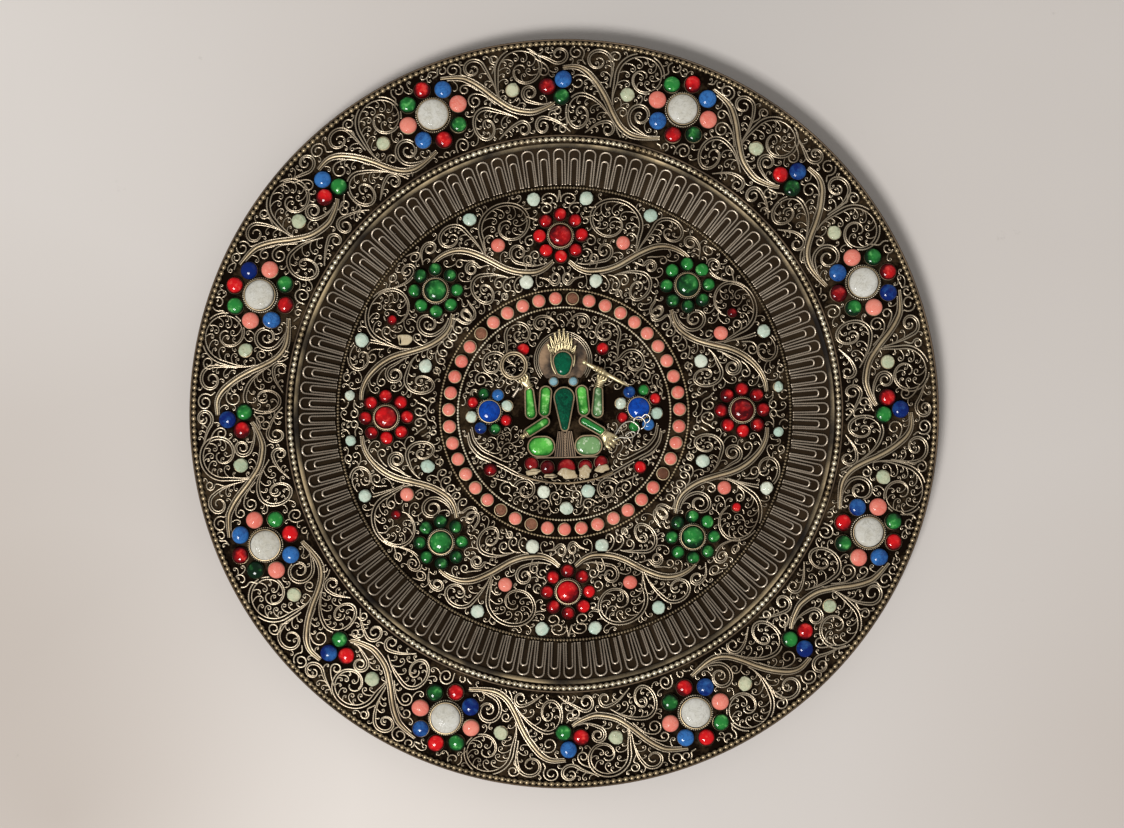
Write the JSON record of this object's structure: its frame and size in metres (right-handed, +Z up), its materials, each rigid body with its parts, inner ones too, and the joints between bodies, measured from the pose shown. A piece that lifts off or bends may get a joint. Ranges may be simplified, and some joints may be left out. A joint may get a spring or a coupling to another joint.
{
  "type": "offering plate",
  "caption": "Round filigree offering plate with a flat rim, a sloping well of hairpin wire, stone-set rosettes and a seated figure in the middle; it holds offerings.",
  "frame": {"origin": "centre of the flat underside, on the surface the plate rests on", "axes": "+Z up out of the well, +Y towards the figure's head, +X to the right as seen from above"},
  "size_m": [0.3, 0.3, 0.0186],
  "materials": {
    "aged_silver": "silvered brass wire, worn bright on top and dark in the recesses",
    "dark_sheet": "silvered brass sheet with a dark oxide",
    "pale_gilt": "worn gilding",
    "red_glass": "foil-backed red glass",
    "coral": "polished coral",
    "blue_stone": "polished mottled blue",
    "green_glass": "foil-backed green glass",
    "deep_green_stone": "polished deep green",
    "pale_stone": "pale blue-green, satin",
    "white_shell": "white shell, satin",
    "wax": "brown setting wax"
  },
  "bodies": {
    "root": {"base_dish": "dark_sheet", "rim_edge_band": "aged_silver", "rim_outer_beaded_wire": "aged_silver", "rim_inner_beaded_wire": "aged_silver", "rim_inner_plain_wire": "aged_silver", "wall_collar": "aged_silver", "wall_outer_hairpins": "aged_silver", "wall_inner_hairpins": "aged_silver", "floor_edge_beaded_wire": "aged_silver", "coral_ring_outer_wire": "aged_silver", "coral_ring_inner_wire": "aged_silver", "rim_stems": "pale_gilt", "rim_scrolls": "aged_silver", "floor_stems": "pale_gilt", "floor_scrolls": "aged_silver", "medallion_scrolls": "aged_silver", "rim_rosette_bezels": "aged_silver", "rim_small_bezels": "aged_silver", "rim_white_stones": "white_shell", "rim_red_stones": "red_glass", "rim_blue_stones": "blue_stone", "rim_coral_stones": "coral", "rim_green_stones": "green_glass", "rim_pale_stones": "pale_stone", "floor_rosette_bezels": "aged_silver", "floor_small_bezels": "aged_silver", "floor_red_centres": "red_glass", "floor_red_petals": "red_glass", "floor_green_centres": "green_glass", "floor_green_petals": "green_glass", "floor_pale_stones": "pale_stone", "floor_coral_stones": "coral", "floor_dot_stones": "red_glass", "coral_ring_bezels": "aged_silver", "coral_ring_stones": "coral", "coral_ring_wax": "wax", "medallion_bezels": "aged_silver", "medallion_blue_centres": "blue_stone", "medallion_blue_stones": "blue_stone", "medallion_green_stones": "green_glass", "medallion_red_stones": "red_glass", "medallion_pale_stones": "pale_stone", "figure_halo": "pale_gilt", "figure_crown": "pale_gilt", "figure_cloisons": "aged_silver", "figure_head_stone": "deep_green_stone", "figure_torso_stone": "deep_green_stone", "figure_arm_stones": "green_glass", "figure_knee_stones": "green_glass", "figure_shoulder_stones": "pale_stone", "figure_robe": "pale_gilt", "figure_hands": "pale_gilt", "figure_bead_ring": "pale_gilt", "figure_rod": "pale_gilt", "figure_looped_wire": "aged_silver", "seat_strip": "pale_gilt", "seat_stones": "red_glass", "seat_petal_tips": "pale_gilt"}
  },
  "joints": []
}
